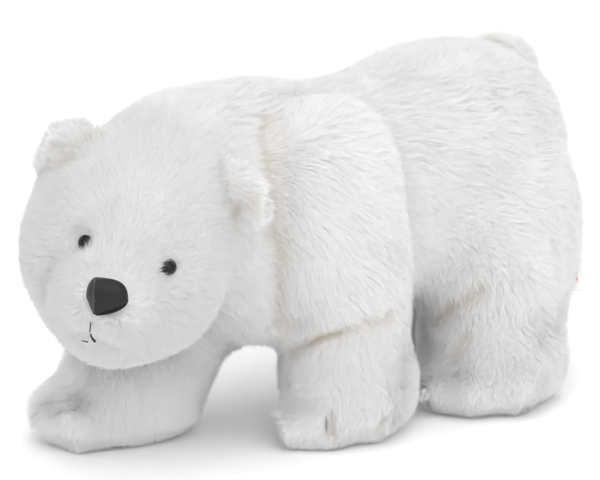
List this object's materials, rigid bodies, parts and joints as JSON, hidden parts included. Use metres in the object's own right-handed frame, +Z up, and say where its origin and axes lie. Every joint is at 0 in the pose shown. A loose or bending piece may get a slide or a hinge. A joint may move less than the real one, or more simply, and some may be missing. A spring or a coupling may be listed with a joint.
{
  "type": "plush toy polar bear",
  "caption": "Stuffed plush toy of a white polar bear walking on four legs with its head low and turned to its left, with long pile, glossy black eyes and a black nose.",
  "frame": {"origin": "on the floor, under the middle of the whole bear", "axes": "+Z up, the body faces -Y, and the bear's left side is +X"},
  "size_m": [0.2402, 0.5034, 0.2637],
  "materials": {
    "plush": "long soft silky white pile, matt",
    "eye": "polished black",
    "leatherette": "soft satin black leatherette",
    "suede": "brushed dark grey suede cloth",
    "ribbon": "plain woven ribbon"
  },
  "bodies": {
    "root": {"trunk": "plush", "neck": "plush", "head": "plush", "tail": "plush", "left_ear": "plush", "right_ear": "plush", "left_eye": "eye", "right_eye": "eye", "nose": "leatherette", "label": "ribbon", "front_left_leg": "plush", "front_left_paw": "plush", "front_left_sole": "suede", "front_right_leg": "plush", "front_right_paw": "plush", "front_right_sole": "suede", "hind_left_leg": "plush", "hind_left_paw": "plush", "hind_left_sole": "suede", "hind_right_leg": "plush", "hind_right_paw": "plush", "hind_right_sole": "suede"}
  },
  "joints": []
}
